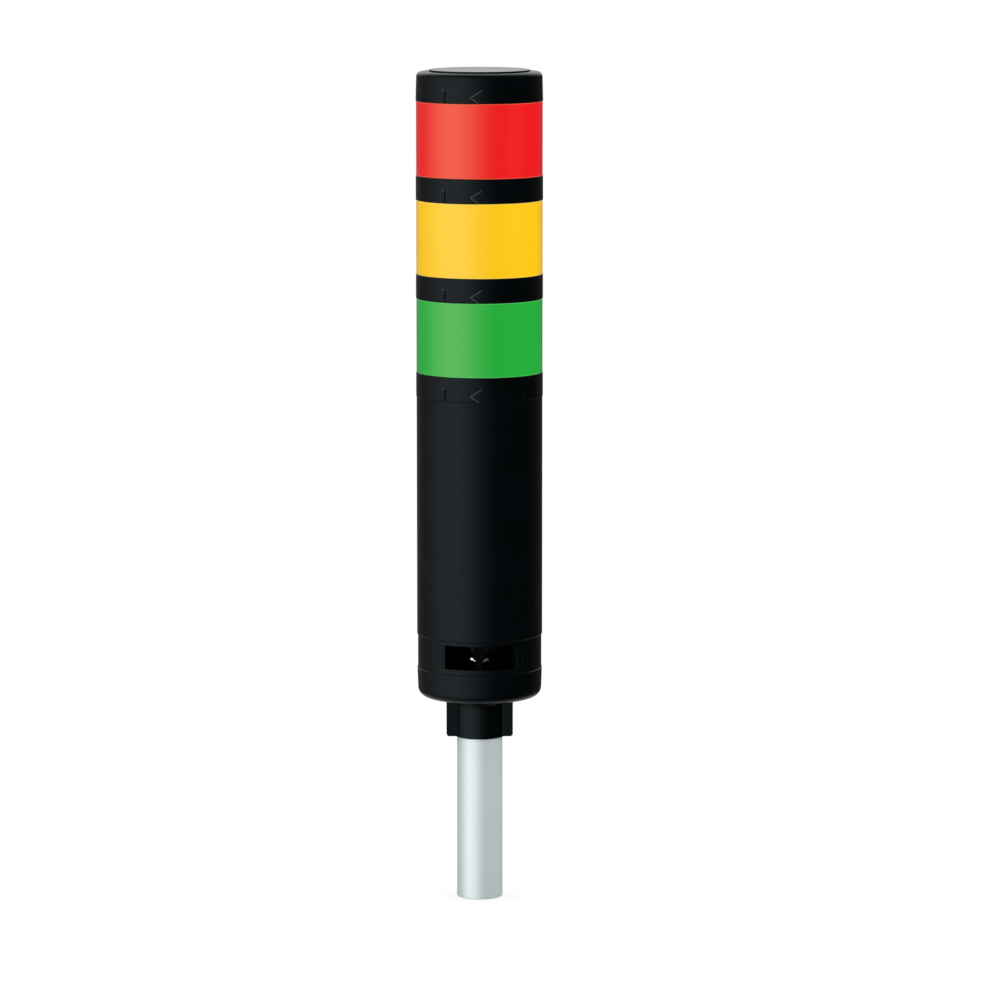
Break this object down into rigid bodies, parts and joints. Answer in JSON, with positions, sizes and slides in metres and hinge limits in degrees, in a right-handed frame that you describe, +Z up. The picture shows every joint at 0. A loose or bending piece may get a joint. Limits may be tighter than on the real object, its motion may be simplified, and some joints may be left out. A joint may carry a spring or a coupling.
{
  "type": "stack light",
  "caption": "Pole-mounted machine stack light with red, yellow and green twist-lock light tiers over a sounder body.",
  "frame": {"origin": "centre of the pole's lower end", "axes": "+Z up along the pole and the tower; -Y is the front, with the sound window and the twist marks; +X to the right seen from the front"},
  "size_m": [0.06, 0.06, 0.3961],
  "materials": {
    "pole_aluminium": "fine satin anodised",
    "black_plastic": "satin moulded",
    "red_lens_plastic": "smooth translucent",
    "yellow_lens_plastic": "smooth translucent",
    "green_lens_plastic": "smooth translucent",
    "clear_plastic": "clear moulded",
    "seal_rubber": "matte",
    "screw_steel": "zinc plated",
    "clip_steel": "bright spring steel",
    "sounder_black": "moulded",
    "circuit_board": "solder resist",
    "terminal_green": "moulded",
    "led_white": "cast resin",
    "contact_brass": "plated"
  },
  "bodies": {
    "base": {"pole": "pole_aluminium", "mounting_bracket": "black_plastic", "pole_nuts": "screw_steel", "pole_set_screws": "screw_steel", "cable_bush": "seal_rubber", "bracket_screws": "screw_steel", "bracket_seal": "seal_rubber", "sound_ring": "black_plastic", "chamber_floor": "black_plastic", "wire_duct": "black_plastic", "window_clip": "clip_steel", "horn_plate": "black_plastic", "sounder": "sounder_black", "body_tube": "black_plastic", "body_neck": "black_plastic", "main_board": "circuit_board", "terminal_block": "terminal_green", "terminal_screws": "screw_steel", "body_contact_disc": "circuit_board", "body_seal": "seal_rubber"},
    "green_tier": {"green_collar": "black_plastic", "green_lens": "green_lens_plastic", "green_light_board": "circuit_board", "green_leds": "led_white", "green_diffuser": "clear_plastic", "green_riser_board": "circuit_board", "green_spring_pins": "contact_brass", "green_contact_disc": "circuit_board", "green_seal": "seal_rubber"},
    "yellow_tier": {"yellow_collar": "black_plastic", "yellow_lens": "yellow_lens_plastic", "yellow_light_board": "circuit_board", "yellow_leds": "led_white", "yellow_diffuser": "clear_plastic", "yellow_riser_board": "circuit_board", "yellow_spring_pins": "contact_brass", "yellow_contact_disc": "circuit_board", "yellow_seal": "seal_rubber"},
    "red_tier": {"red_collar": "black_plastic", "red_lens": "red_lens_plastic", "red_light_board": "circuit_board", "red_leds": "led_white", "red_diffuser": "clear_plastic", "red_riser_board": "circuit_board", "red_spring_pins": "contact_brass", "red_contact_disc": "circuit_board", "red_seal": "seal_rubber"},
    "top_cap": {"cap": "black_plastic"}
  },
  "joints": [
    {"name": "green_tier_twist", "type": "hinge", "parent": "base", "child": "green_tier", "pos_m": [0, 0, 0.2416], "axis": [0, 0, 1], "range_deg": [0, 27]},
    {"name": "yellow_tier_twist", "type": "hinge", "parent": "green_tier", "child": "yellow_tier", "pos_m": [0, 0, 0.2881], "axis": [0, 0, 1], "range_deg": [0, 27]},
    {"name": "red_tier_twist", "type": "hinge", "parent": "yellow_tier", "child": "red_tier", "pos_m": [0, 0, 0.3346], "axis": [0, 0, 1], "range_deg": [0, 27]},
    {"name": "top_cap_twist", "type": "hinge", "parent": "red_tier", "child": "top_cap", "pos_m": [0, 0, 0.3811], "axis": [0, 0, 1], "range_deg": [0, 27]}
  ]
}
